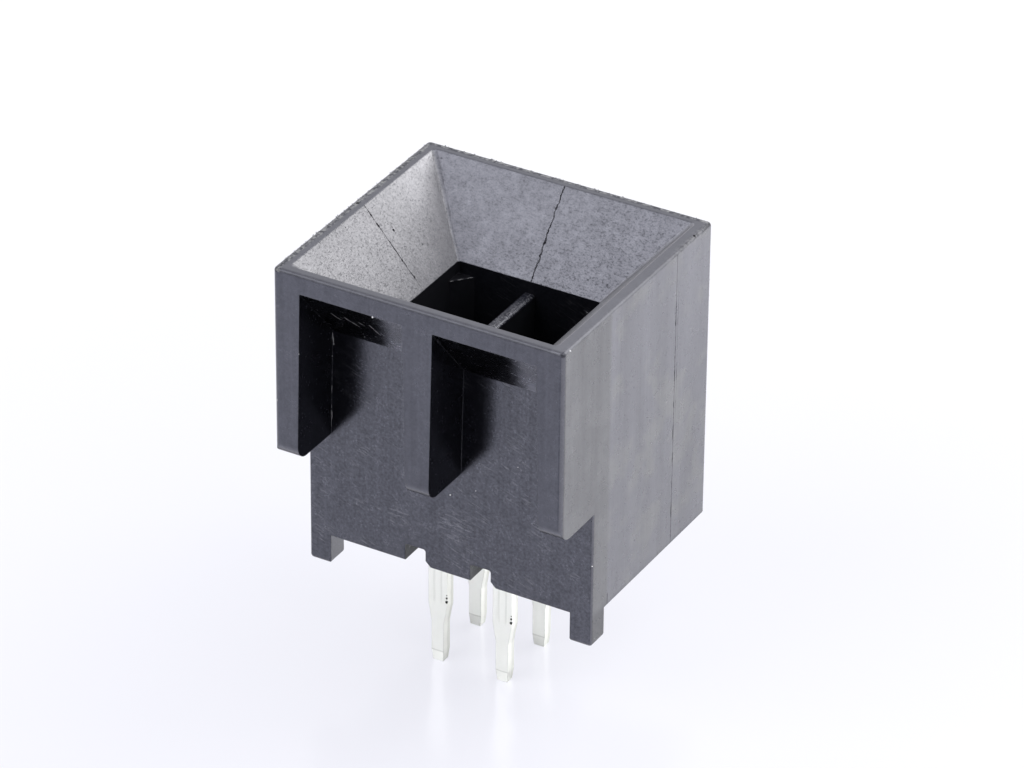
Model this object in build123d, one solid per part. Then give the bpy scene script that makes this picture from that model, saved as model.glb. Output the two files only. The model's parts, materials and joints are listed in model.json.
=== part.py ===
from build123d import *
import os
from math import hypot, radians, tan

# An upright two-row power header: a moulded housing with a funnel mouth that guides its plug in,
# and four stamped terminals whose tails are soldered into a board.
# X runs across the rows, Y from the overhanging front to the flush back, and Z up from the board.
# The origin is the middle of the four terminals, on the face that seats on the board.
# Lengths are in millimetres and angles in degrees.

# Circuits, on a square grid
pitch = 3.0
terminal_names = {(-1, -1): "front_left", (1, -1): "front_right", (-1, 1): "back_left", (1, 1): "back_right"}

# Housing, outside
housing_width = 13.0
housing_depth = 11.9
housing_height = 13.47
upright_round = 0.2
body_front_round = 0.1
rim_round = 0.16
base_round = 0.05

# Funnel: the flat land round its mouth, its height, and the wall below its slopes
side_land = 0.52
front_land = 0.42
back_land = 0.49
land_edge_round = 0.1
funnel_height = 3.1
funnel_wall = 0.92
mouth_round = 0.2
throat_round = 0.12

# Cells below the throat, one for each circuit
throat_width = 6.5
throat_depth = 5.62
cell_wall = 0.6
column_wall = 0.5
row_wall = 0.5
column_wall_drop = 0.56
column_wall_round = 0.12
row_wall_drop = 1.06
key_width = 0.74
key_depth = 0.78
floor_height = 2.2

# Front: ribs that carry the overhanging rim, and the open pockets between them
rib_foot_height = 4.87
rib_foot_round = 0.68
side_rib = 1.21
middle_rib = 1.37
rib_draft = 1.2
rim_bar_height = 0.88
pocket_foot_drop = 0.7

# Underside: cores that keep the walls even, and vent grooves at the two columns of tails
core_skin = 1.1
core_web = 0.8
groove_width = 0.95
groove_height = 0.78
groove_shift = 0.07
groove_round = 0.12
groove_chamfer = 0.26

# Locating pegs at the two front corners
peg_width = 0.98
peg_depth = 1.0
peg_length = 1.34
peg_round = 0.18

# Terminals, stamped from strip
stock = 0.5
tail_width = 0.87
tail_reach = 5.6
taper_start = 2.85
taper_length = 0.9
tail_end_width = 0.56
tail_point_length = 0.5
tail_point_inset = 0.05
shoulder_width = 1.3
shoulder_height = 0.8
shoulder_slope = 0.35
pin_width = 0.64
pin_height = 8.2
pin_point_length = 0.7
pin_point_inset = 0.18
slot_clearance = 0.02
barb_height = 0.25
barb_above_groove = 0.5

# Places that follow from the sizes above
half_width = housing_width / 2
half_depth = housing_depth / 2
throat_x = throat_width / 2
throat_y = throat_depth / 2
throat_height = housing_height - funnel_height
mouth_x = half_width - side_land
mouth_front = half_depth - front_land
mouth_back = half_depth - back_land
front_face = -(throat_y + cell_wall)
slot_x = tail_width / 2 + slot_clearance
slot_y = stock / 2 + slot_clearance


def plan(x_low, x_high, y_low, y_high, corner=0.0):
    """A rectangle seen from above, given by its edges, with its corners rounded."""
    width = x_high - x_low
    depth = y_high - y_low
    outline = RectangleRounded(width, depth, corner) if corner else Rectangle(width, depth)
    return Pos((x_low + x_high) / 2, (y_low + y_high) / 2) * outline


def upright(outline, low, high):
    """A prism that stands on a plan outline between two heights."""
    return extrude(Pos(0, 0, low) * outline, high - low)


def across(points, reach):
    """A prism along X, both ways from the middle, on an outline of (y, z) points."""
    return extrude(Plane.YZ * Polygon(*points, align=None), reach, both=True)


def lengthwise(points, reach):
    """A prism along Y, both ways from the middle, on an outline of (x, z) points."""
    return extrude(Plane.XZ * Polygon(*points, align=None), reach, both=True)


def body_plan():
    """The body from above. Its front corners, below the collar, are sharper than its back ones."""
    outline = plan(-half_width, half_width, front_face, half_depth)
    outline = fillet(outline.vertices().group_by(Axis.Y)[-1], upright_round)
    return fillet(outline.vertices().group_by(Axis.Y)[0], body_front_round)


def outer_block():
    """The closed outside: the body, and the collar that stands out in front of it."""
    body = upright(body_plan(), 0, housing_height)
    body = fillet(body.faces().sort_by(Axis.Z)[0].edges(), base_round)
    side = Plane.YZ * Pos(0, (rib_foot_height + housing_height) / 2) * Rectangle(
        housing_depth, housing_height - rib_foot_height)
    collar = extrude(side, half_width, both=True)
    foot_edge = collar.edges().filter_by(Axis.X).group_by(Axis.Z)[0].sort_by(Axis.Y)[0]
    collar = fillet(foot_edge, rib_foot_round)
    whole_plan = plan(-half_width, half_width, -half_depth, half_depth, upright_round)
    collar &= upright(whole_plan, rib_foot_height, housing_height)
    return body + collar


def funnel():
    """The tapered space from the mouth at the rim down to the throat."""
    throat = Pos(0, 0, throat_height) * plan(-throat_x, throat_x, -throat_y, throat_y, throat_round)
    mouth = Pos(0, 0, housing_height) * plan(-mouth_x, mouth_x, -mouth_front, mouth_back, mouth_round)
    return loft([throat, mouth], ruled=True)


def cell_walls():
    """The walls between the cells, and the keys that fill the outer corners of the back cells."""
    column_top = throat_height - column_wall_drop
    row_top = throat_height - row_wall_drop
    walls = upright(plan(-column_wall / 2, column_wall / 2, -throat_y, throat_y), floor_height, column_top)
    walls = fillet(walls.faces().sort_by(Axis.Z)[-1].edges().filter_by(Axis.Y), column_wall_round)
    walls += upright(plan(-throat_x, throat_x, -row_wall / 2, row_wall / 2), floor_height, row_top)
    corner = Polygon((throat_x, throat_y), (throat_x - key_width, throat_y), (throat_x, throat_y - key_depth),
                     align=None)
    key = upright(corner, floor_height, column_top)
    return walls + key + mirror(key, about=Plane.YZ)


def front_pocket():
    """The open pocket between the middle rib and the right rib, under the front of the rim."""
    bar_bottom = housing_height - rim_bar_height
    pocket_foot = throat_height - pocket_foot_drop
    outside = -2 * half_depth
    section = across([(front_face, 0), (front_face, pocket_foot), (-half_depth, bar_bottom),
                      (outside, bar_bottom), (outside, 0)], housing_width)
    draft = bar_bottom * tan(radians(rib_draft))
    left = middle_rib / 2
    right = half_width - side_rib
    span = lengthwise([(left - draft, 0), (left, bar_bottom), (right, bar_bottom), (right + draft, 0)],
                      housing_depth)
    return section & span


def core_roof(distance, run):
    """The height that stays one funnel wall below a slope, at a distance out from the throat."""
    return throat_height + (distance * funnel_height - funnel_wall * hypot(run, funnel_height)) / run


def cores():
    """The spaces cored out of the thick sides and back from below."""
    inner_x = throat_x + cell_wall
    outer_x = half_width - core_skin
    side_run = mouth_x - throat_x
    side = lengthwise([(inner_x, 0), (inner_x, core_roof(cell_wall, side_run)),
                       (outer_x, core_roof(outer_x - throat_x, side_run)), (outer_x, 0)], housing_depth)
    inner_y = throat_y + cell_wall
    outer_y = half_depth - core_skin
    side &= upright(plan(0, half_width, -throat_y, inner_y - core_web), 0, housing_height)
    back_run = mouth_back - throat_y
    back = across([(inner_y, 0), (inner_y, core_roof(cell_wall, back_run)),
                   (outer_y, core_roof(outer_y - throat_y, back_run)), (outer_y, 0)], housing_width)
    back &= upright(plan(core_web / 2, outer_x, 0, half_depth), 0, housing_height)
    right_cores = side + back
    return right_cores + mirror(right_cores, about=Plane.YZ)


def vent_groove():
    """A groove from front to back at a column of tails, with one side of its mouth chamfered."""
    half = groove_width / 2
    outline = Polygon((-half, 0), (half + groove_chamfer, 0), (half, groove_chamfer),
                      (half, groove_height), (-half, groove_height), align=None)
    outline = fillet(outline.vertices().group_by(Axis.Y)[-1], groove_round)
    return extrude(Plane.XZ * outline, housing_depth, both=True)


def peg():
    """The locating peg below the front right corner, flush with the front and side."""
    corner = plan(half_width - peg_width, half_width, front_face, front_face + peg_depth)
    post = upright(body_plan() & corner, -peg_length, groove_height)
    return fillet(post.faces().sort_by(Axis.Z)[0].edges(), peg_round)


def housing():
    """The moulded housing, with the pegs and every opening in it."""
    shape = outer_block() - funnel()
    shape = fillet(shape.faces().sort_by(Axis.Z)[-1].outer_wire().edges(), rim_round)
    shape = fillet(shape.faces().sort_by(Axis.Z)[-1].inner_wires()[0].edges(), land_edge_round)
    shape -= upright(plan(-throat_x, throat_x, -throat_y, throat_y, throat_round), floor_height, throat_height)
    shape += cell_walls()
    shape -= front_pocket()
    shape -= mirror(front_pocket(), about=Plane.YZ)
    shape -= cores()
    for column in (-1, 1):
        shape -= Pos(column * pitch / 2 - groove_shift) * vent_groove()
    shape += peg()
    shape += mirror(peg(), about=Plane.YZ)
    slot = upright(plan(-slot_x, slot_x, -slot_y, slot_y), 0, floor_height)
    for column, row in terminal_names:
        shape -= Pos(column * pitch / 2, row * pitch / 2) * slot
    return shape


def mirrored(points):
    """A closed outline from its right-hand half, given upwards as (half width, height)."""
    return points + [(-half, height) for half, height in reversed(points)]


def terminal():
    """A terminal on the Z axis: tail below, barbs in the floor, shoulder on it and pin in the cell."""
    tail = tail_width / 2
    end = tail_end_width / 2
    wide = shoulder_width / 2
    pin = pin_width / 2
    barb_low = groove_height + barb_above_groove
    barb_high = barb_low + barb_height
    shoulder_top = floor_height + shoulder_height
    face = lengthwise(mirrored([
        (end - tail_point_inset, -tail_reach), (end, -tail_reach + tail_point_length),
        (end, -taper_start - taper_length), (tail, -taper_start),
        (tail, barb_low), (slot_x, barb_high), (tail, barb_high),
        (tail, floor_height), (wide, floor_height), (wide, shoulder_top),
        (pin, shoulder_top + shoulder_slope), (pin, pin_height - pin_point_length),
        (pin - pin_point_inset, pin_height)]), stock)
    flat = stock / 2
    edge = across(mirrored([
        (flat - tail_point_inset, -tail_reach), (flat, -tail_reach + tail_point_length),
        (flat, pin_height - pin_point_length), (flat - pin_point_inset, pin_height)]), housing_width)
    return face & edge


os.makedirs("parts", exist_ok=True)
export_step(housing(), "parts/housing.step")
for (column, row), place in terminal_names.items():
    export_step(Pos(column * pitch / 2, row * pitch / 2) * terminal(), f"parts/terminal_{place}.step")
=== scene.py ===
import json
import random
from math import cos, pi, radians, sin
from types import SimpleNamespace

import bpy
from mathutils import Matrix, Vector


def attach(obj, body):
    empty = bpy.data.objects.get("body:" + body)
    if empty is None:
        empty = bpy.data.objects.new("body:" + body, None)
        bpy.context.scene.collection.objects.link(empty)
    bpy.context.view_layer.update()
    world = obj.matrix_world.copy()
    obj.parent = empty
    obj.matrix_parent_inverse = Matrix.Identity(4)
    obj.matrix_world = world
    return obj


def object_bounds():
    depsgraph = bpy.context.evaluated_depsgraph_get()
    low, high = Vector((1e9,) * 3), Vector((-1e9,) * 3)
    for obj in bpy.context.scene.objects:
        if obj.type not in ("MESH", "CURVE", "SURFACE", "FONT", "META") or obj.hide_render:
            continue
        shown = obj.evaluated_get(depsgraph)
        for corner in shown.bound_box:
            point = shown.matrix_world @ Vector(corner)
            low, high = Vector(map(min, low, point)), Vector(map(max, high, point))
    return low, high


# The looks of an upright power header: black moulded plastic, bright tin terminals, a white studio.
# Lengths are in metres unless a name ends in MM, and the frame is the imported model's own.
# The materials work in millimetres in that frame, and colours are in linear light.

MM = 0.001

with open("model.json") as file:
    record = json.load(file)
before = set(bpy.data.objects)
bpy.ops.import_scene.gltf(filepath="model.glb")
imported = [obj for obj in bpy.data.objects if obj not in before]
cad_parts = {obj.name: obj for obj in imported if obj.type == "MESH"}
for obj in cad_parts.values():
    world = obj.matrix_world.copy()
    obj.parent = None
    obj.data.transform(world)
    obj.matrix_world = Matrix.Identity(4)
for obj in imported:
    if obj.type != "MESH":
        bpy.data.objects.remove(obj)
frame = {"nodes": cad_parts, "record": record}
cad_low, cad_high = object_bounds()

# Camera: turned round the part and raised as in the photograph, then slid in its own plane
CAMERA_AZIMUTH = radians(29.639)
CAMERA_ELEVATION = radians(31.150)
CAMERA_ROLL = radians(0.550)
CAMERA_DISTANCE = 238.094 * MM
CAMERA_SLIDE = (0.743 * MM, 6.061 * MM)
CAMERA_FOCAL_PIXELS = 5914.98
FRAME_PIXELS = 1024
SENSOR_MM = 36.0

# Lamps, each by the way to it from the part, its distance, its width, its radiance and its colour
LAMPS = {
    "window": ((0.54, 0.70, 0.50), 0.35, 0.34, 3.7, (1.0, 0.995, 0.985)),
    "overhead": ((0.62, -0.15, 0.77), 0.40, 0.34, 2.4, (1.0, 1.0, 1.0)),
    "fill": ((-0.426, -0.639, 0.64), 0.40, 0.30, 3.6, (0.97, 0.97, 1.0)),
}
FLOOR_HALF_WIDTH = 1.5

# Sizes of the housing that its finish follows
HALF_WIDTH_MM = 6.5
HALF_DEPTH_MM = 5.95
RIM_TOP_MM = 13.47
THROAT_TOP_MM = 10.37
THROAT_SIDE_MM = 3.25
THROAT_BACK_MM = 2.81
CELL_FLOOR_MM = 2.2
PARTITION_SIDE_MM = 0.25
PARTITION_TOP_MM = 9.81
BODY_FRONT_MM = -3.41
RIB_FOOT_MM = 4.87
GROOVE_TOP_MM = 0.8
GROOVES_REACH_MM = 2.5

# The foot and the top of the slant above each front pocket, as depth and height
SLANT_FOOT_MM = (BODY_FRONT_MM, 9.67)
SLANT_TOP_MM = (-HALF_DEPTH_MM, 12.59)

# How far back the corner of the funnel runs for each millimetre of height
CORNER_RUN = 0.855

# Seams where the parts of the mould meet
SIDE_SEAM_Y_MM = 3.03
SECOND_SEAM_STEP_MM = 0.16
SHORT_SEAM_Y_MM = -2.17
SHORT_SEAM_TOP_MM = 0.6
BACK_SEAM_X_MM = 0.07
LEFT_SEAM_Y_MM = 0.05

# The front of the right face reflects a little less than the rest, a painted shade
SHADED_FRONT_MM = -2.2

# Flash at the foot of the left wall of each front pocket, pale as a painted highlight, and its lean to the
# left as it goes down
FLASH_TOP_MM = 9.66
FLASH_FOOT_MM = 4.95
FLASH_TOP_X_MM = (-5.371, 0.563)
FLASH_PARTS = (((0.0, 1.0),), ((0.02, 0.2), (0.24, 0.5), (0.6, 0.68), (0.8, 0.97)))
FLASH_LEAN = 0.018

# From one front pocket to the next, and how fast the painted reflection of a rib climbs the wall beside it
POCKET_STEP_MM = FLASH_TOP_X_MM[1] - FLASH_TOP_X_MM[0]
RIB_MIRROR_DROP = 1.207

# The tails: how far each stands from the middle both ways, its lower part made paler as painted light, and
# its point
TERMINAL_MM = 1.5
TAIL_LOWER_MM = (-4.6, -3.4)
TAIL_POINT_MM = -5.1

# Marks on a tail: coined lines by place and half width, and nicks by height and radius on its corner
COINED_LINES_MM = ((-0.16, 0.06), (0.17, 0.05))
TAIL_NICKS_MM = ((-2.32, 0.028), (-2.46, 0.052), (-2.65, 0.074))
TAIL_CORNER_MM = (0.42, -0.25)

# Small dark pits, scuffed places on the front and pale specks, each with its radius
PITS_MM = (((-6.27, 0.05, 13.46), 0.08), ((6.4, 4.58, 13.46), 0.06), ((-4.98, 0.64, 12.33), 0.05))
SCUFFED_MM = (((-2.32, BODY_FRONT_MM, 2.05), 0.5), ((0.31, BODY_FRONT_MM, 2.42), 0.9))
SPECKS_MM = (((-1.97, -5.95, 12.57), 0.055), ((-5.34, -5.95, 9.88), 0.022), ((-6.37, -5.95, 7.47), 0.022),
             ((1.53, -5.95, 5.6), 0.035), ((6.5, -3.45, 2.53), 0.035), ((6.48, -5.45, 13.37), 0.06),
             ((1.2, -3.41, 4.3), 0.025), ((3.1, -3.41, 6.0), 0.018))

# Scuffs on the slant, each by its two ends: along X, and as a share of the way up the slant
SCUFFS = (((-4.42, 0.65), (-4.18, 0.5)), ((-3.8, 0.65), (-3.6, 0.52)), ((-3.6, 0.56), (-3.39, 0.45)),
          ((-3.21, 0.62), (-3.01, 0.55)), ((-2.69, 0.64), (-2.62, 0.5)), ((-2.66, 0.52), (-2.56, 0.38)),
          ((-3.7, 0.13), (-3.66, 0.12)))

# Pale threads along the top edges of the keys of the back cells, painted highlights, each by its two ends
KEY_HIGHLIGHTS_MM = (((-3.2, 2.02, 9.81), (-3.08, 2.16, 9.81)), ((-3.0, 2.26, 9.81), (-2.82, 2.46, 9.82)),
               ((-2.76, 2.55, 9.81), (-2.55, 2.79, 9.81)), ((2.62, 2.74, 9.81), (2.8, 2.66, 9.81)),
               ((2.84, 2.6, 9.81), (2.95, 2.5, 9.81)))

# Torn bits along the rim: how many, their radii, and the sides they fall on, more often where repeated
RIM_BURRS = 260
RIM_BURR_RADII_MM = (0.014, 0.02, 0.026, 0.036)
RIM_BURR_SIDES = ("left", "left", "left", "back", "back", "back", "right", "upright")

# The relief of every finish, and the rounding that light sees on the edges of plastic and of tin
RELIEF_MM = 0.004
PLASTIC_EDGE_MM = 0.05
TIN_EDGE_MM = 0.035

# Colours of the plastic, and of the painted shade, reflection and light laid on it
BLACK = (0.0075, 0.0080, 0.0125, 1)
WORN_BLACK = (0.0120, 0.0125, 0.0180, 1)
PIT_BLACK = (0.002, 0.002, 0.003, 1)
SHADE_BLACK = (0.0004, 0.0004, 0.0006, 1)
NO_LIGHT = (0.0, 0.0, 0.0, 1)
RUBBED_GREY = (0.17, 0.17, 0.16, 1)
SCRATCH_GREY = (0.13, 0.13, 0.14, 1)
SLANT_FOOT_REFLECTION = (0.20, 0.205, 0.25, 1)
SLANT_TOP_REFLECTION = (0.10, 0.103, 0.125, 1)
MOUTH_PAINTED_LIGHT = (0.11, 0.11, 0.12, 1)
DUST_GREY = (0.62, 0.62, 0.63, 1)

# Hues that the plastic gives its reflections: in general, greenish on some of the right face, and on the
# front and the funnel's side slopes a painted hue of the light that falls there
PLAIN_HUE = (0.885, 0.895, 1.0, 1)
GREENISH_HUE = (0.935, 0.95, 0.96, 1)
FUNNEL_LIGHT_HUE = (0.935, 0.93, 0.975, 1)
FRONT_LIGHT_HUE = (0.865, 0.89, 1.06, 1)

# Colours of the tin
TIN = ((0.72, 0.735, 0.685, 1), (0.80, 0.81, 0.775, 1))
PALE_TIN = ((0.83, 0.845, 0.785, 1), (0.90, 0.91, 0.865, 1))
DULL_TIN = (0.36, 0.37, 0.33, 1)
NICK_BLACK = (0.012, 0.012, 0.012, 1)


class Nodes:
    """Adds shader nodes to a tree. An input that is a socket is linked, and any other value is set."""

    def __init__(self, tree):
        self.tree = tree
        tree.nodes.clear()

    def add(self, kind, inputs=None, **settings):
        node = self.tree.nodes.new(kind)
        for name, value in settings.items():
            setattr(node, name, value)
        for key, value in (inputs or {}).items():
            if isinstance(value, bpy.types.NodeSocket):
                self.tree.links.new(value, node.inputs[key])
            else:
                node.inputs[key].default_value = value
        return node

    def math(self, operation, a, b, clamp=False):
        return self.add("ShaderNodeMath", {0: a, 1: b}, operation=operation, use_clamp=clamp).outputs[0]

    def chain(self, operation, values):
        result = values[0]
        for value in values[1:]:
            result = self.math(operation, result, value)
        return result

    def total(self, *values):
        return self.chain("ADD", values)

    def times(self, *values):
        return self.chain("MULTIPLY", values)

    def larger(self, *values):
        return self.chain("MAXIMUM", values)

    def minus(self, value, less, clamp=False):
        return self.math("SUBTRACT", value, less, clamp)

    def far(self, value):
        return self.math("ABSOLUTE", value, 0.0)

    def gains(self, start, *pairs):
        """A start value, with the first of each pair added in the share that is the second."""
        return self.total(start, *[self.times(value, share) for value, share in pairs])

    def scaled(self, vector, x, y, z):
        node = self.add("ShaderNodeVectorMath", {0: vector, 1: (x, y, z)}, operation="MULTIPLY")
        return node.outputs["Vector"]

    def measured(self, operation, *vectors):
        """A single value from one or two vectors, such as a distance."""
        node = self.add("ShaderNodeVectorMath", dict(enumerate(vectors)), operation=operation)
        return node.outputs["Value"]

    def split(self, vector):
        return self.add("ShaderNodeSeparateXYZ", {0: vector}).outputs

    def step(self, value, low, high, start=0.0, end=1.0):
        """A smooth change from start to end while value goes from low to high."""
        node = self.add("ShaderNodeMapRange", {"Value": value, "From Min": low, "From Max": high,
                                               "To Min": start, "To Max": end},
                        interpolation_type="SMOOTHSTEP")
        return node.outputs["Result"]

    def under(self, value, low, high):
        """One while value is below low, and nothing from high on."""
        return self.step(value, low, high, 1.0, 0.0)

    def band(self, value, middle, half):
        """One near the middle value, fading to nothing at half away from it."""
        return self.under(self.far(self.minus(value, middle)), half * 0.4, half)

    def spot(self, vector, middle, radius):
        """One within a radius of a point, fading out just beyond it."""
        return self.under(self.measured("DISTANCE", vector, middle), radius * 0.7, radius * 1.2)

    def noise(self, vector, scale, detail=2.0, roughness=0.5, lift=0.0):
        """Noise from about 0 to 1, or about nothing on average where lift is a half."""
        node = self.add("ShaderNodeTexNoise", {"Vector": vector, "Scale": scale, "Detail": detail,
                                               "Roughness": roughness})
        return self.minus(node.outputs["Fac"], lift)

    def cells(self, vector, scale):
        return self.add("ShaderNodeTexVoronoi", {"Vector": vector, "Scale": scale}).outputs

    def mix(self, share, first, second):
        node = self.add("ShaderNodeMix", {0: share, 6: first, 7: second}, data_type="RGBA",
                        clamp_factor=False)
        return node.outputs[2]

    def layered(self, base, *layers):
        """A base colour with others laid over it in turn, each in the share that stands before it."""
        for share, colour in layers:
            base = self.mix(share, base, colour)
        return base

    def soft_edges(self, normal, radius_mm):
        """The normal as if the edges were rounded, and how far it is turned from the surface's own."""
        soft = self.add("ShaderNodeBevel", {"Radius": radius_mm * MM}, samples=6).outputs["Normal"]
        return soft, self.minus(1.0, self.measured("DOT_PRODUCT", soft, normal))

    def relief(self, height, strength=1.0, **inputs):
        """The normal of a fine relief, over another normal where one is given."""
        node = self.add("ShaderNodeBump", {"Strength": strength, "Distance": RELIEF_MM * MM,
                                           "Height": height, **inputs})
        return node.outputs["Normal"]

    def principled(self, inputs):
        """Makes a Principled shader the surface of the material."""
        shader = self.add("ShaderNodeBsdfPrincipled", inputs)
        self.add("ShaderNodeOutputMaterial", {"Surface": shader.outputs["BSDF"]})


def new_material(name):
    material = bpy.data.materials.new(name)
    material.use_nodes = True
    return material, Nodes(material.node_tree)


class Place:
    """Where the shaded point lies, in millimetres in the frame, and which way the surface faces there."""

    def __init__(self, n):
        place = n.add("ShaderNodeTexCoord").outputs["Object"]
        self.mm = n.scaled(place, 1 / MM, 1 / MM, 1 / MM)
        self.x, self.y, self.z = n.split(self.mm)
        self.normal = n.add("ShaderNodeNewGeometry").outputs["Normal"]
        self.nx, self.ny, self.nz = n.split(self.normal)
        self.far_x = n.far(self.x)
        self.far_y = n.far(self.y)
        self.steep_x = n.far(self.nx)
        self.steep_y = n.far(self.ny)


def face_regions(n, at, where):
    """The outer faces, the slopes of the funnel and the grooves below."""
    where.facing_x = n.step(at.steep_x, 0.9, 0.97)
    where.side = n.times(where.facing_x, n.step(at.far_x, HALF_WIDTH_MM - 0.2, HALF_WIDTH_MM - 0.1))
    where.front = n.under(at.ny, -0.97, -0.9)
    where.body_front = n.times(where.front, n.step(at.y, BODY_FRONT_MM - 0.2, BODY_FRONT_MM - 0.1))
    where.groove = n.times(where.facing_x, n.under(at.far_x, GROOVES_REACH_MM - 0.1, GROOVES_REACH_MM + 0.1),
                           n.under(at.z, GROOVE_TOP_MM - 0.05, GROOVE_TOP_MM + 0.05))
    where.funnel = n.times(n.step(at.nz, 0.3, 0.5), n.under(at.nz, 0.93, 0.985),
                           n.step(at.z, THROAT_TOP_MM - 0.05, THROAT_TOP_MM),
                           n.under(at.far_x, HALF_WIDTH_MM - 0.38, HALF_WIDTH_MM - 0.3),
                           n.under(at.far_y, HALF_DEPTH_MM - 0.33, HALF_DEPTH_MM - 0.25))
    where.funnel_side = n.times(where.funnel, n.step(at.steep_x, 0.3, 0.6))
    where.funnel_back = n.times(where.funnel, n.step(at.steep_y, 0.3, 0.6))


def rim_regions(n, at, where):
    """The flat land of the rim, its torn outer edge, and its roundings outside and at the mouth."""
    outside = n.larger(n.step(at.far_x, HALF_WIDTH_MM - 0.33, HALF_WIDTH_MM - 0.2),
                       n.step(at.far_y, HALF_DEPTH_MM - 0.29, HALF_DEPTH_MM - 0.17))
    near_top = n.step(at.z, RIM_TOP_MM - 0.22, RIM_TOP_MM - 0.15)
    land = n.times(n.step(at.z, RIM_TOP_MM - 0.05, RIM_TOP_MM - 0.03), n.step(at.nz, 0.7, 0.8))
    where.rim = n.larger(land, n.times(near_top, outside, n.step(at.nz, 0.1, 0.3)))
    left = n.under(at.x, 0.23 - HALF_WIDTH_MM, 0.38 - HALF_WIDTH_MM)
    back = n.step(at.y, HALF_DEPTH_MM - 0.33, HALF_DEPTH_MM - 0.21)
    right = n.times(n.step(at.x, HALF_WIDTH_MM - 0.3, HALF_WIDTH_MM - 0.15),
                    n.step(at.y, 1.5, 4.5, 0.0, 0.35))
    where.torn_rim = n.times(near_top, n.larger(left, back, right), n.step(at.nz, 0.03, 0.12))
    where.turn_front = n.times(near_top, outside, n.under(at.ny, -0.65, -0.45))
    where.turn_right = n.times(near_top, outside, n.step(at.nx, 0.18, 0.34), n.under(at.nx, 0.9, 0.98))
    where.mouth_turn = n.times(near_top, n.step(at.nz, 0.68, 0.74), n.under(at.nz, 0.95, 0.99),
                               n.minus(1.0, outside))


def pocket_regions(n, at, where):
    """The walls and slants of the front pockets, the feet of the ribs, and where a rib's dark reflection is
    painted on the wall.
    """
    where.pocket_side = n.times(where.facing_x, n.under(at.far_x, HALF_WIDTH_MM - 0.6, HALF_WIDTH_MM - 0.4),
                                n.under(at.y, BODY_FRONT_MM - 0.01, BODY_FRONT_MM + 0.05))
    where.slant = n.times(n.under(at.nz, -0.6, -0.5), n.under(at.ny, -0.6, -0.5),
                          n.step(at.z, SLANT_FOOT_MM[1] - 0.27, SLANT_FOOT_MM[1] - 0.07))
    foot = n.times(n.under(at.y, 0.75 - HALF_DEPTH_MM, 0.95 - HALF_DEPTH_MM),
                   n.under(at.z, RIB_FOOT_MM + 0.7, RIB_FOOT_MM + 0.9))
    where.rib_foot = n.times(foot, n.under(at.nz, -0.3, -0.05), n.step(at.nz, -0.6, -0.45))
    where.under_foot = n.times(foot, n.under(at.nz, -0.6, -0.45))
    pocket_x = n.minus(at.x, n.times(n.step(at.x, -0.1, 0.1), POCKET_STEP_MM))
    lean = n.times(n.minus(FLASH_TOP_MM, at.z), FLASH_LEAN)
    where.from_rib = n.total(pocket_x, lean, -FLASH_TOP_X_MM[0])
    behind_rib = n.gains(at.z, (where.from_rib, -RIB_MIRROR_DROP))
    # Painted reflection: the dark mirror image of a rib on the wall beside it
    where.rib_mirror = n.times(where.front, n.step(at.y, BODY_FRONT_MM - 0.05, BODY_FRONT_MM - 0.02),
                               n.under(where.from_rib, 0.75, 1.7), n.step(where.from_rib, -0.1, 0.0),
                               n.step(behind_rib, RIB_FOOT_MM - 0.35, RIB_FOOT_MM + 0.35))


def cell_regions(n, at, where):
    """The top of the wall between the columns of cells, and everything else below the throat."""
    where.partition = n.times(n.under(at.far_x, PARTITION_SIDE_MM + 0.01, PARTITION_SIDE_MM + 0.03),
                              n.under(at.far_y, THROAT_BACK_MM - 0.03, THROAT_BACK_MM - 0.01),
                              n.step(at.z, PARTITION_TOP_MM - 0.14, PARTITION_TOP_MM - 0.1),
                              n.under(at.z, PARTITION_TOP_MM + 0.02, PARTITION_TOP_MM + 0.06))
    inside = n.times(n.under(at.far_x, THROAT_SIDE_MM + 0.05, THROAT_SIDE_MM + 0.1),
                     n.under(at.far_y, THROAT_BACK_MM + 0.05, THROAT_BACK_MM + 0.09),
                     n.under(at.z, THROAT_TOP_MM - 0.04, THROAT_TOP_MM),
                     n.step(at.z, CELL_FLOOR_MM - 0.2, CELL_FLOOR_MM - 0.1))
    where.cavity = n.times(inside, n.minus(1.0, where.partition))


def housing_regions(n, at):
    """Masks of the housing's surfaces, each one on its surface and nothing elsewhere."""
    where = SimpleNamespace()
    for regions in (face_regions, rim_regions, pocket_regions, cell_regions):
        regions(n, at, where)
    return where


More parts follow.
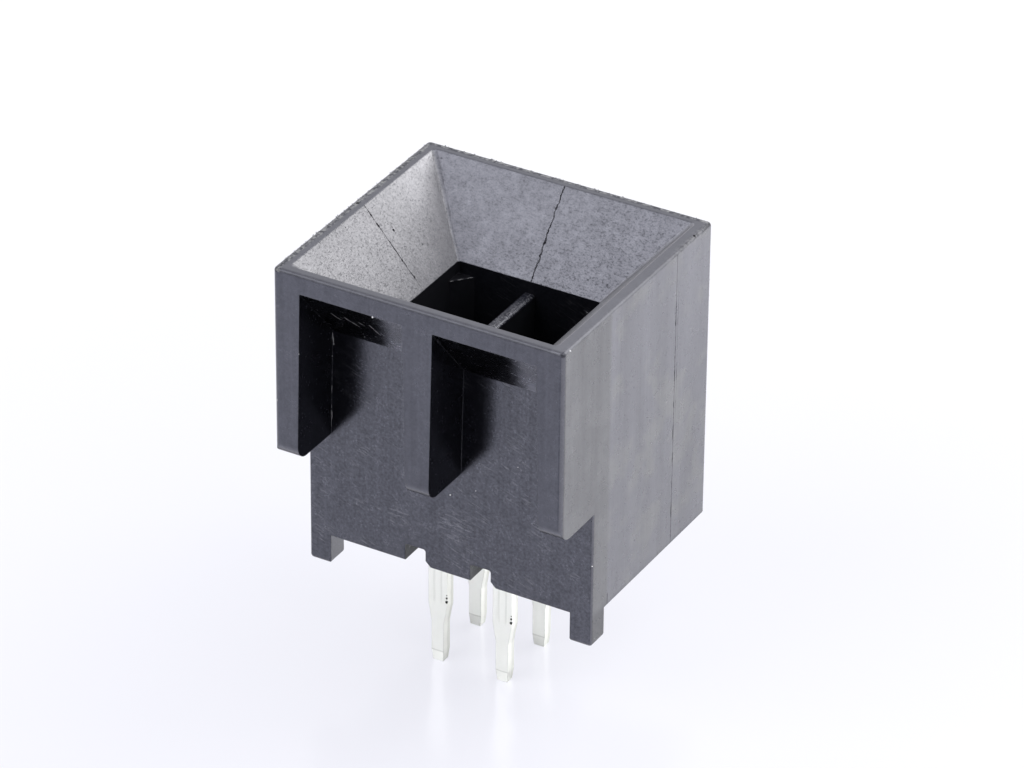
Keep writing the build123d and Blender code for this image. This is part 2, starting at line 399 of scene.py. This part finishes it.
def housing_seams(n, at, where):
    """Dark hairlines where the parts of the mould meet, and the pits beside them."""
    wobble = n.noise(at.mm, 2.2, 4.0, 0.75, 0.5)
    broken = n.step(n.noise(at.mm, 2.0, 3.0, 0.7), 0.38, 0.52, 0.35, 1.0)
    thin = n.step(n.noise(n.scaled(at.mm, 0.2, 0.2, 1.0), 1.3, 3.0, 0.7), 0.42, 0.6, 0.3, 1.0)
    side = n.times(n.band(n.gains(at.y, (wobble, 0.05)), SIDE_SEAM_Y_MM, 0.045), where.side, thin)
    second = n.times(n.band(n.gains(at.y, (wobble, 0.06)), SIDE_SEAM_Y_MM + SECOND_SEAM_STEP_MM, 0.03),
                     where.side, thin, n.step(at.z, 5.0, 7.0), n.under(at.z, 11.5, 12.5), 0.5)
    short = n.times(n.band(at.y, SHORT_SEAM_Y_MM, 0.035), where.side,
                    n.under(at.z, SHORT_SEAM_TOP_MM - 0.1, SHORT_SEAM_TOP_MM), 0.8)
    blobs = n.step(n.noise(at.mm, 1.9, 2.0, 0.6), 0.56, 0.66)
    away = n.far(n.minus(n.gains(at.x, (wobble, 0.3)), BACK_SEAM_X_MM))
    back = n.times(n.under(n.gains(away, (blobs, -0.03)), 0.005, 0.035), where.funnel_back,
                   n.step(broken, 0.3, 1.0, 0.55, 1.0))
    away = n.far(n.minus(n.gains(at.y, (wobble, 0.1)), LEFT_SEAM_Y_MM))
    left = n.times(n.under(n.gains(away, (blobs, -0.04)), 0.0, 0.03), where.funnel_side, broken,
                   n.step(at.z, 10.7, 10.9, 0.3, 1.0))
    pits = [n.spot(at.mm, middle, radius) for middle, radius in PITS_MM]
    return n.larger(side, second, short, back, left, *pits)


def housing_noises(n, at, marks):
    """The noises of the finish. Patches and the rough of the rim aside, they average nothing."""
    marks.grain = n.noise(at.mm, 9.0, 3.0, 0.6, 0.5)
    marks.fine = n.noise(at.mm, 26.0, 2.0, 0.6, 0.5)
    marks.sand = n.noise(at.mm, 8.5, 4.0, 0.8, 0.5)
    marks.blotch = n.noise(at.mm, 3.6, 3.0, 0.6, 0.5)
    marks.mottle = n.noise(at.mm, 1.7, 4.0, 0.62, 0.5)
    marks.cloud = n.noise(at.mm, 0.7, 3.0, 0.6, 0.5)
    marks.drawn = n.noise(n.scaled(at.mm, 1.0, 1.0, 0.03), 5.0, 3.0, 0.6, 0.5)
    marks.bands = n.noise(n.scaled(at.mm, 1.0, 1.0, 0.12), 0.6, 3.0, 0.55, 0.5)
    marks.level = n.noise(n.scaled(at.mm, 0.7, 0.7, 1.3), 12.0, 4.0, 0.75, 0.5)
    marks.patches = n.step(n.noise(at.mm, 0.55, 3.0, 0.55), 0.5, 0.66)
    marks.rough_rim = n.noise(at.mm, 5.5, 4.0, 0.8)


def funnel_marks(n, at, where, marks):
    """The eroded finish of the funnel: level scratches, coarser to the right and below, and pits."""
    coarse = n.step(n.gains(at.x, (at.z, -1.5)), -21.0, -12.0, 0.5, 1.0)
    marks.coarse = n.times(coarse, where.funnel_back)
    marks.flecks = n.times(n.step(marks.level, 0.035, 0.12),
                           n.larger(n.times(marks.coarse, 0.8), n.times(where.funnel_side, 0.9)))
    cells = n.cells(at.mm, 3.1)
    marks.pits = n.times(n.under(cells["Distance"], 0.08, 0.16),
                         n.step(n.split(cells["Color"])[0], 0.9, 0.94), n.times(where.funnel, 0.55))


def streaks(n, at, lean, along, across):
    """Noise drawn out into short strokes on the front, leaning down to the right by an angle."""
    run = n.total(n.times(at.x, cos(lean)), n.times(at.z, -sin(lean)))
    rise = n.total(n.times(at.x, sin(lean)), n.times(at.z, cos(lean)))
    drawn = n.add("ShaderNodeCombineXYZ", {0: n.times(run, along), 1: n.times(rise, across)}).outputs[0]
    return n.noise(drawn, 1.0, 3.0, 0.65)


def scratches_and_dust(n, at, where, marks):
    """Fine pale scratches on the front of the body, more of them where it is scuffed, and dust."""
    scuffed = n.larger(*[n.spot(at.mm, middle, radius) for middle, radius in SCUFFED_MM])
    there = n.times(n.step(streaks(n, at, 0.1, 1.8, 9.0), 0.50, 0.64), scuffed, where.body_front)
    elsewhere = n.times(n.step(streaks(n, at, 0.35, 1.4, 13.0), 0.54, 0.66),
                        n.step(marks.cloud, -0.05, 0.12), where.body_front)
    marks.hairs = n.larger(there, elsewhere)
    sheltered = n.larger(where.slant, where.pocket_side, where.rib_mirror)
    cells = n.cells(at.mm, 1.9)
    marks.dust = n.times(n.under(cells["Distance"], 0.03, 0.06),
                         n.step(n.split(cells["Color"])[1], 0.92, 0.94),
                         n.minus(0.25, sheltered, clamp=True))


def worn_edges(n, at, where, marks):
    """Edges that are rubbed lighter, torn round the outside of the rim, and pale specks on the partition top
    that fade toward the back and the left as painted shade.
    """
    marks.soft, turned = n.soft_edges(at.normal, PLASTIC_EDGE_MM)
    marks.rubbed = n.larger(
        n.times(n.step(turned, 0.03, 0.2), n.step(n.noise(at.mm, 4.0, 4.0, 0.7), 0.5, 0.7), 0.6),
        n.times(where.torn_rim, n.step(marks.rough_rim, 0.49, 0.56), 0.85))
    marks.worn_dark = n.times(where.torn_rim, n.under(marks.rough_rim, 0.44, 0.49))
    # Specks of wear on the partition top, faded toward the back and the left as painted shade
    marks.top_specks = n.times(n.step(n.noise(at.mm, 9.0, 3.0, 0.8), 0.49, 0.58), where.partition,
                               n.step(at.nz, 0.2, 0.5), n.step(at.y, -1.0, 2.6, 1.0, 0.3),
                               n.step(at.x, -0.1, 0.15, 0.4, 1.2))


def housing_marks(n, at, where):
    """Every noise and mark that the finish of the housing is made from."""
    marks = SimpleNamespace(seams=housing_seams(n, at, where))
    housing_noises(n, at, marks)
    for add_marks in (funnel_marks, scratches_and_dust, worn_edges):
        add_marks(n, at, where, marks)
    # Painted reflection on each slant: paler on the right, as if it mirrored the lit wall below, and black
    # on the left, as if it mirrored a dark rib
    marks.slant_lit = n.times(where.slant, n.step(
        n.gains(where.from_rib, (marks.mottle, 0.9), (at.z, -0.34)), -1.2, 0.15))
    return marks


def housing_colour(n, at, where, marks):
    """The colour under the gloss: black, and paler where it is worn, scratched or dusty, with a painted
    reflection on the slants and painted light on the right of the mouth.
    """
    plain = n.mix(n.total(marks.mottle, 0.5), BLACK, WORN_BLACK)
    slant_reflection = n.mix(n.step(at.z, 9.6, 11.4), SLANT_FOOT_REFLECTION, SLANT_TOP_REFLECTION)
    mouth_right_light = n.times(n.larger(where.mouth_turn, where.funnel), n.under(at.nx, -0.25, -0.05))
    return n.layered(
        plain,
        (n.times(marks.rubbed, 0.8), RUBBED_GREY),
        (n.larger(n.times(marks.seams, 0.9), marks.pits), PIT_BLACK),
        (n.larger(n.times(marks.hairs, 0.4), n.times(marks.top_specks, 1.15)), SCRATCH_GREY),
        # painted reflection, paler on the right of each slant
        (marks.slant_lit, slant_reflection),
        # painted light on the right of the mouth and on the funnel's right slope
        (mouth_right_light, MOUTH_PAINTED_LIGHT),
        (marks.dust, DUST_GREY))


def funnel_shine(n, at, where, marks):
    """What the funnel reflects more or less than plain plastic: the speckles of its eroded finish, painted
    light on the side slope growing toward the back and the corner, and painted light and shade on the corner
    and the mouth's rounding.
    """
    flat_side = n.times(where.funnel_side, n.under(at.steep_y, 0.04, 0.14))
    corner_y = n.gains(THROAT_BACK_MM, (n.minus(at.z, THROAT_TOP_MM), CORNER_RUN))
    corner = n.times(where.funnel, n.step(at.steep_x, 0.06, 0.16), n.step(at.steep_y, 0.06, 0.16))
    return n.gains(
        0.0,
        (marks.sand, n.times(where.funnel_side, 1.3)),
        (marks.blotch, n.total(n.times(where.funnel_side, 0.3), n.times(where.funnel_back, 0.9))),
        (marks.level, n.times(marks.coarse, 5.0)),
        (marks.cloud, n.times(where.funnel, 0.5)),
        (marks.flecks, -0.24),
        (marks.pits, -0.5),
        (where.funnel_back, 0.08),
        (flat_side, 0.07),
        # painted light: the side slope brighter toward the back and near the corner
        (n.times(flat_side, n.step(at.y, -0.5, 4.2)), 0.42),
        (n.times(flat_side, n.under(n.minus(corner_y, at.y), 0.1, 1.5)), 0.15),
        # painted light and shade on the corner and on the mouth's rounding
        (corner, n.step(at.steep_y, 0.15, 0.5, -0.05, 0.16)),
        (where.mouth_turn, n.step(at.y, 5.2, 5.4, -0.12, 0.1)))


def face_shine(n, at, where, marks):
    """Painted light and shade in the reflections, beside the marks of the finish: less on the front, the
    rim's roundings, the sides and most at their foot, the grooves and the partition top; more at the top of
    the front, on the right land and on the feet of the ribs.
    """
    # Painted shade: the front faces and the rim's front and right roundings reflect less
    dimmed = n.larger(n.times(where.front, 0.46), n.times(where.turn_front, 0.48),
                      n.times(where.turn_right, 0.66))
    # Painted highlight along the top of the front
    front_top = n.times(where.front, n.step(at.z, RIM_TOP_MM - 0.2, RIM_TOP_MM - 0.12),
                        n.step(at.nz, 0.03, 0.08))
    # Painted light on the rim's right land, more toward the front
    right_land = n.times(where.rim, n.step(at.x, HALF_WIDTH_MM - 0.65, HALF_WIDTH_MM - 0.55))
    # Painted shade on the front part of the sides
    shaded_side_front = n.times(where.side, n.under(at.y, SHADED_FRONT_MM - 0.15, SHADED_FRONT_MM + 0.15))
    return n.gains(
        0.0,
        (dimmed, -1.0),
        (front_top, 0.12),
        (right_land, n.step(at.y, -3.0, 3.0, 0.2, 0.1)),
        (marks.bands, n.times(where.side, 0.9)),
        (marks.patches, n.times(where.side, 0.12)),
        (marks.drawn, n.total(n.times(where.side, 0.3), n.times(where.front, 0.3))),
        (marks.worn_dark, -0.75),
        (marks.hairs, 0.15),
        (shaded_side_front, -0.26),
        # painted shade on the sides, most at their foot, and in the grooves; painted light on the feet of
        # the ribs
        (where.side, n.step(at.z, -0.1, 0.3, -0.42, -0.07)),
        (where.rib_foot, 0.24),
        (where.groove, -0.7),
        (where.partition, -0.42))


def housing_tint(n, at, where, marks):
    """The colour of the reflections: how strong they are at each place, painted light and shade among it,
    and their hue, with a painted hue of the light on the front and the funnel's side slopes.
    """
    shine = n.total(funnel_shine(n, at, where, marks), face_shine(n, at, where, marks), n.gains(
        1.0, (marks.sand, 0.3), (marks.mottle, 0.3), (marks.seams, -0.85),
        (marks.grain, n.gains(0.35, (where.body_front, 0.6)))))
    greenish = n.larger(n.step(at.y, SHADED_FRONT_MM - 0.1, SHADED_FRONT_MM + 0.1, 0.8, 0.0),
                        n.times(marks.patches, 0.9))
    hue = n.layered(
        PLAIN_HUE,
        (n.times(where.side, greenish), GREENISH_HUE),
        # painted hue of the light on the funnel's side slopes and on the front
        (n.times(where.funnel_side, n.under(at.steep_y, 0.1, 0.5)), FUNNEL_LIGHT_HUE),
        (n.times(where.front, n.under(at.nz, 0.1, 0.3)), FRONT_LIGHT_HUE))
    return n.mix(n.larger(shine, 0.02), NO_LIGHT, hue)


def housing_painted_shade(n, where, marks):
    """Painted shade: on the side walls of the front pockets, under the feet of the ribs, in the cells, where
    a rib's dark reflection is painted and on the left of each slant, colour, metal share and reflections are
    turned almost to black.
    """
    painted_shade = n.larger(n.times(where.pocket_side, 0.5), n.times(where.cavity, 0.62),
                     n.times(where.under_foot, 0.5), n.times(where.rib_mirror, 0.56),
                     n.times(where.slant, n.minus(0.66, marks.slant_lit, clamp=True)))
    return n.times(painted_shade, n.minus(1.0, marks.dust))


def housing_roughness(n, where, marks):
    return n.gains(
        0.24, (where.funnel, 0.20), (where.rim, 0.12), (where.side, 0.06), (where.cavity, 0.35),
        (marks.grain, 0.16), (marks.mottle, 0.14), (marks.pits, 0.5), (marks.flecks, 0.15),
        (marks.seams, 0.5), (marks.rubbed, 0.2))


def housing_relief(n, where, marks):
    height = n.gains(
        0.0, (marks.grain, 0.5), (marks.fine, 0.2), (marks.drawn, 0.3), (marks.pits, -1.5),
        (marks.sand, n.times(where.funnel, 0.6)), (marks.flecks, -0.4), (marks.seams, -3.0),
        (marks.dust, 0.6), (marks.rough_rim, n.times(where.torn_rim, 7.0)), (marks.top_specks, 2.0),
        (marks.hairs, 0.6))
    deep = n.larger(where.slant, where.pocket_side, where.cavity)
    return n.relief(height, n.minus(1.0, n.times(deep, 0.85)), Normal=marks.soft)


def housing_plastic():
    """Black glass-filled plastic: semi-gloss with a fine grain outside, spark-eroded in the funnel."""
    material, n = new_material("housing_plastic")
    at = Place(n)
    where = housing_regions(n, at)
    marks = housing_marks(n, at, where)
    painted_shade = housing_painted_shade(n, where, marks)
    n.principled({
        # Painted shade: the colour, the metal share and the reflections turn to black in the pockets and
        # cells
        "Base Color": n.mix(painted_shade, housing_colour(n, at, where, marks), SHADE_BLACK),
        "Metallic": painted_shade,
        "Roughness": housing_roughness(n, where, marks),
        "Normal": housing_relief(n, where, marks),
        "IOR": 1.65,
        "Specular IOR Level": 1.0,
        "Specular Tint": n.mix(painted_shade, housing_tint(n, at, where, marks), NO_LIGHT)})
    return material


def pale_plastic():
    """The same plastic where it is scuffed, torn or dusty, so that it looks pale grey; also the painted
    highlights of the flash and of the keys' top edges.
    """
    material, n = new_material("pale_plastic")
    at = Place(n)
    cloud = n.noise(at.mm, 6.0, 3.0, 0.7)
    grain = n.noise(at.mm, 40.0, 3.0, 0.7)
    n.principled({
        "Base Color": n.mix(n.step(cloud, 0.3, 0.7), (0.10, 0.10, 0.105, 1), (0.30, 0.30, 0.31, 1)),
        "Roughness": n.gains(0.4, (grain, 0.2)),
        "Normal": n.relief(grain, 0.6)})
    return material


def white_dust():
    """Specks of white dust that lie on the plastic."""
    material, n = new_material("white_dust")
    at = Place(n)
    grain = n.noise(at.mm, 30.0, 3.0, 0.7)
    n.principled({
        "Base Color": n.mix(n.step(grain, 0.3, 0.7), (0.55, 0.55, 0.56, 1), (0.85, 0.85, 0.86, 1)),
        "Roughness": n.gains(0.6, (grain, 0.2))})
    return material


def tin_plate():
    """Bright tin over stamped copper alloy, with two faint coined lines in front and sheared sides."""
    material, n = new_material("tin_plate")
    at = Place(n)
    own_x = n.minus(at.x, n.times(n.math("SIGN", at.x, 0.0), TERMINAL_MM))
    own_y = n.minus(at.y, n.times(n.math("SIGN", at.y, 0.0), TERMINAL_MM))
    on_sheared = n.step(at.steep_x, 0.8, 0.95)
    on_front = n.under(at.ny, -0.97, -0.9)
    drawn = n.noise(n.scaled(at.mm, 1.0, 1.0, 0.05), 11.0, 3.0, 0.6, 0.5)
    cloud = n.noise(at.mm, 1.6, 3.0, 0.6, 0.5)
    grain = n.noise(at.mm, 18.0, 3.0, 0.6, 0.5)
    uneven = n.noise(at.mm, 3.0, 2.0, 0.5, 0.5)

    # Marks: the torn half of each sheared side, the coined lines and the nicks, with painted shade along the
    # front corner and in a line above the point
    torn = n.times(on_sheared, n.step(n.gains(own_y, (uneven, 0.12)), 0.0, 0.08))
    lines = n.larger(*[n.band(own_x, middle, half) for middle, half in COINED_LINES_MM])
    coined = n.times(lines, on_front, n.step(at.z, -2.9, -2.6))
    soft, turned = n.soft_edges(at.normal, TIN_EDGE_MM)
    corner = n.times(n.step(turned, 0.01, 0.10), n.step(own_x, 0.1, 0.2), n.under(own_y, -0.2, -0.1),
                     n.step(n.noise(at.mm, 2.5, 2.0, 0.6), 0.35, 0.6, 0.4, 1.0))
    point_shade_line = n.times(n.band(n.gains(at.z, (cloud, 0.06)), TAIL_POINT_MM, 0.05), on_front)
    corner_x, corner_y = TAIL_CORNER_MM
    nick = n.larger(*[n.spot(at.mm, (side * TERMINAL_MM + corner_x, corner_y - TERMINAL_MM, height), radius)
                      for side in (-1, 1) for height, radius in TAIL_NICKS_MM])

    # Paler on the sheared sides, with painted light towards the point and on the lower part; duller at the
    # marks and at the painted shade
    pale = n.larger(on_sheared, n.step(at.z, TAIL_POINT_MM - 0.02, TAIL_POINT_MM, 1.25, 0.0),
                    n.step(at.z, *TAIL_LOWER_MM, 0.35, 0.0))
    dull_and_shaded = n.gains(0.0, (torn, 0.24), (on_sheared, 0.05), (coined, 0.16), (point_shade_line, 0.34),
                   (corner, n.step(at.z, *TAIL_LOWER_MM, 0.6, 0.36)))
    clouded = n.total(cloud, 0.5)
    height = n.gains(0.0, (drawn, 1.0), (grain, 0.3), (torn, n.times(grain, 3.0)), (coined, -1.5),
                     (nick, -6.0))
    n.principled({
        "Base Color": n.layered(n.mix(clouded, *TIN), (pale, n.mix(clouded, *PALE_TIN)),
                                (dull_and_shaded, DULL_TIN), (nick, NICK_BLACK)),
        "Metallic": 1.0,
        "Roughness": n.gains(0.32, (drawn, 0.12), (cloud, 0.12), (torn, 0.15)),
        "Normal": n.relief(height, Normal=soft)})
    return material


def studio_floor():
    """A white, slightly glossy sheet. It shows white to the camera, greyer and bluer near the part as a
    painted shadow, and keeps a share of the real shadow.
    """
    material, n = new_material("studio_floor")
    away = n.measured("LENGTH", n.add("ShaderNodeTexCoord").outputs["Object"])
    # Painted shadow: the white the camera sees is greyer and bluer within a few centimetres of the part
    tint = n.mix(n.step(away, 0.01, 0.07), (0.905, 0.91, 0.985, 1), (0.965, 0.965, 0.985, 1))
    lit = n.add("ShaderNodeBsdfPrincipled", {
        "Base Color": (0.69, 0.69, 0.725, 1), "Roughness": 0.18, "IOR": 1.9})
    plain = n.add("ShaderNodeEmission", {"Color": tint, "Strength": 1.0})
    seen = n.times(n.add("ShaderNodeLightPath").outputs["Is Camera Ray"], 0.72)
    top = n.add("ShaderNodeMixShader", {0: seen, 1: lit.outputs[0], 2: plain.outputs[0]})
    clear = n.add("ShaderNodeBsdfTransparent")
    below = n.add("ShaderNodeNewGeometry").outputs["Backfacing"]
    shader = n.add("ShaderNodeMixShader", {0: below, 1: top.outputs[0], 2: clear.outputs[0]})
    n.add("ShaderNodeOutputMaterial", {"Surface": shader.outputs[0]})
    return material


def studio_world():
    """White to the camera; for the light, a white horizon under a ceiling that is brighter at the back."""
    world = bpy.data.worlds.new("studio")
    world.use_nodes = True
    n = Nodes(world.node_tree)
    direction = n.split(n.add("ShaderNodeTexCoord").outputs["Generated"])
    back = n.step(direction[1], -0.3, 0.6)
    ceiling = n.mix(back, (0.45, 0.45, 0.47, 1), (1.15, 1.15, 1.18, 1))
    light_colour = n.mix(n.step(direction[2], 0.08, 0.3), (1.0, 1.0, 1.0, 1), ceiling)
    light = n.add("ShaderNodeBackground", {"Color": light_colour, "Strength": 1.0})
    white = n.add("ShaderNodeBackground", {"Color": (1, 1, 1, 1), "Strength": 1.0})
    path = n.add("ShaderNodeLightPath")
    seen = n.larger(path.outputs["Is Camera Ray"], path.outputs["Is Transmission Ray"])
    both = n.add("ShaderNodeMixShader", {0: seen, 1: light.outputs[0], 2: white.outputs[0]})
    n.add("ShaderNodeOutputWorld", {"Surface": both.outputs[0]})
    bpy.context.scene.world = world


def add_softbox(name, direction, distance, size, radiance, colour):
    """A square area lamp that faces the part, with its brightness given as radiance."""
    light = bpy.data.lights.new(name, "AREA")
    light.shape = "SQUARE"
    light.size = size
    light.energy = radiance * pi * size ** 2
    light.color = colour
    lamp = bpy.data.objects.new(name, light)
    toward = Vector(direction).normalized()
    lamp.location = toward * distance
    lamp.rotation_mode = "QUATERNION"
    lamp.rotation_quaternion = toward.to_track_quat("Z", "Y")
    lamp.visible_camera = False
    bpy.context.scene.collection.objects.link(lamp)


def add_floor():
    half = FLOOR_HALF_WIDTH
    mesh = bpy.data.meshes.new("floor")
    corners = [(-half, -half, 0), (half, -half, 0), (half, half, 0), (-half, half, 0)]
    mesh.from_pydata(corners, [], [(0, 1, 2, 3)])
    floor = bpy.data.objects.new("floor", mesh)
    floor.location.z = cad_low.z
    floor.data.materials.append(studio_floor())
    bpy.context.scene.collection.objects.link(floor)


def add_camera():
    away = Vector((sin(CAMERA_AZIMUTH) * cos(CAMERA_ELEVATION), -cos(CAMERA_AZIMUTH) * cos(CAMERA_ELEVATION),
                   sin(CAMERA_ELEVATION)))
    level = Vector((cos(CAMERA_AZIMUTH), sin(CAMERA_AZIMUTH), 0))
    above = away.cross(level)
    right = level * cos(CAMERA_ROLL) + above * sin(CAMERA_ROLL)
    up = above * cos(CAMERA_ROLL) - level * sin(CAMERA_ROLL)
    place = away * CAMERA_DISTANCE + level * CAMERA_SLIDE[0] + above * CAMERA_SLIDE[1]
    lens = bpy.data.cameras.new("camera")
    lens.sensor_width = SENSOR_MM
    lens.lens = CAMERA_FOCAL_PIXELS * SENSOR_MM / FRAME_PIXELS
    lens.clip_start = 1 * MM
    lens.clip_end = 10.0
    camera = bpy.data.objects.new("camera", lens)
    camera.matrix_world = Matrix((
        (right.x, up.x, away.x, place.x), (right.y, up.y, away.y, place.y), (right.z, up.z, away.z, place.z),
        (0, 0, 0, 1)))
    bpy.context.scene.collection.objects.link(camera)
    bpy.context.scene.camera = camera


class Bits:
    """Gathers small stray shapes, given in millimetres, into the mesh of one piece."""

    def __init__(self, seed):
        self.vertices = []
        self.faces = []
        self.random = random.Random(seed)

    def chip(self, middle, radius):
        """An uneven eight-sided chip."""
        first = len(self.vertices)
        for axis in range(3):
            for way in (-1, 1):
                point = Vector(middle)
                point[axis] += way * radius * self.random.uniform(0.6, 1.3)
                self.vertices.append(point * MM)
        low_x, high_x, low_y, high_y, low_z, high_z = range(first, first + 6)
        for a, b in ((low_x, low_y), (low_y, high_x), (high_x, high_y), (high_y, low_x)):
            self.faces += [(a, b, high_z), (b, a, low_z)]

    def thread(self, start, end, radius, steps=8):
        """A thin ridge between two points, which wavers and tapers to both ends."""
        start, end = Vector(start), Vector(end)
        along = (end - start).normalized()
        side = along.orthogonal().normalized()
        other = along.cross(side)
        first = len(self.vertices)
        for i in range(steps + 1):
            share = i / steps
            middle = start.lerp(end, share)
            middle += (side * self.random.uniform(-1, 1) + other * self.random.uniform(-1, 1)) * radius * 0.5
            reach = radius * (0.25 + 0.75 * sin(pi * share)) * self.random.uniform(0.6, 1.2)
            self.vertices += [(middle + turn * reach) * MM for turn in (side, other, -side, -other)]
        for i in range(steps):
            for j in range(4):
                low, high = first + 4 * i, first + 4 * (i + 1)
                self.faces.append((low + j, low + (j + 1) % 4, high + (j + 1) % 4, high + j))

    def piece(self, name, material, slot):
        """Makes the shapes gathered so far one piece, which rides on the root."""
        mesh = bpy.data.meshes.new(name)
        mesh.from_pydata(self.vertices, [], self.faces)
        mesh.materials.append(material)
        piece = bpy.data.objects.new(name, mesh)
        bpy.context.scene.collection.objects.link(piece)
        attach(piece, "root")


def on_slant(x, share):
    """A point on the slant above a front pocket, at a share of the way from its foot to its top."""
    low_y, low_z = SLANT_FOOT_MM
    high_y, high_z = SLANT_TOP_MM
    return x, low_y + (high_y - low_y) * share, low_z + (high_z - low_z) * share


def on_flash(top_x, share):
    """A point at the foot of a pocket's left wall, at a share of the way down the flash."""
    drop = (FLASH_TOP_MM - FLASH_FOOT_MM) * share
    return top_x - drop * FLASH_LEAN, BODY_FRONT_MM, FLASH_TOP_MM - drop


def add_rim_burrs(material):
    """Torn bits along the outer edge of the rim, at the left, the back and the end of the right."""
    bits = Bits(seed=11)
    low_x, high_x = cad_low.x / MM + 0.045, cad_high.x / MM - 0.03
    high_y = cad_high.y / MM - 0.075
    for _ in range(RIM_BURRS):
        spread = bits.random.uniform(-0.03, 0.03)
        height = RIM_TOP_MM - bits.random.uniform(0.03, 0.08)
        radius = bits.random.choice(RIM_BURR_RADII_MM)
        along = bits.random.random()
        side = bits.random.choice(RIM_BURR_SIDES)
        if side == "left":
            bits.chip((low_x + spread, -5.6 + 11.2 * along, height), radius)
        elif side == "back":
            bits.chip((-6.2 + 12.4 * along, high_y + spread, height + 0.02), radius)
        elif side == "right":
            bits.chip((high_x + spread * 0.5, 2.2 + 3.4 * along, height - 0.05), radius * 0.8)
        else:
            bits.chip((high_x - 0.015, high_y - 0.01, RIM_TOP_MM * along), radius * 0.7)
    bits.piece("rim_burrs", material, "housing_plastic")


def add_pocket_marks(material):
    """The flash at the foot of each left wall of the pockets, pale as a painted highlight, and scuffs on the
    slant of the left one.
    """
    bits = Bits(seed=4)
    for top_x, parts in zip(FLASH_TOP_X_MM, FLASH_PARTS):
        for low, high in parts:
            bits.thread(on_flash(top_x, low), on_flash(top_x, high), 0.024, steps=40)
    left_x = FLASH_TOP_X_MM[0]
    bits.thread((left_x, BODY_FRONT_MM, 9.6), (left_x + 0.07, BODY_FRONT_MM - 0.02, 9.1), 0.03)
    bits.chip((left_x + 0.06, BODY_FRONT_MM, 9.06), 0.05)
    bits.thread((left_x - 0.02, BODY_FRONT_MM, 5.9), (left_x - 0.13, BODY_FRONT_MM, 4.95), 0.035)
    for start, end in SCUFFS:
        bits.thread(on_slant(*start), on_slant(*end), 0.015)
    bits.piece("pocket_marks", material, "housing_plastic")


def add_key_highlights(material):
    """Pale threads along the top edges of the keys in the back cells, painted highlights of those edges."""
    bits = Bits(seed=5)
    for start, end in KEY_HIGHLIGHTS_MM:
        bits.thread(start, end, 0.015)
    bits.piece("key_highlights", material, "housing_plastic")


def add_specks(material):
    """The pale specks that the photo has on the ribs, the body and the right face."""
    bits = Bits(seed=7)
    for middle, radius in SPECKS_MM:
        bits.chip(middle, radius)
    bits.piece("dust_specks", material, "housing_plastic")


def dress_frame():
    """Gives every CAD node the finish of its slot."""
    finishes = {"housing_plastic": housing_plastic(), "tin_plate": tin_plate()}
    for part in frame["record"]["subparts"]:
        node = frame["nodes"][part["node"]]
        node.data.materials.clear()
        node.data.materials.append(finishes[part["material_slot"]])


dress_frame()
pale = pale_plastic()
add_rim_burrs(pale)
add_pocket_marks(pale)
add_key_highlights(pale)
add_specks(white_dust())
add_floor()
add_camera()
studio_world()
for lamp_name, settings in LAMPS.items():
    add_softbox(lamp_name, *settings)

bpy.context.scene.view_settings.view_transform = "Standard"
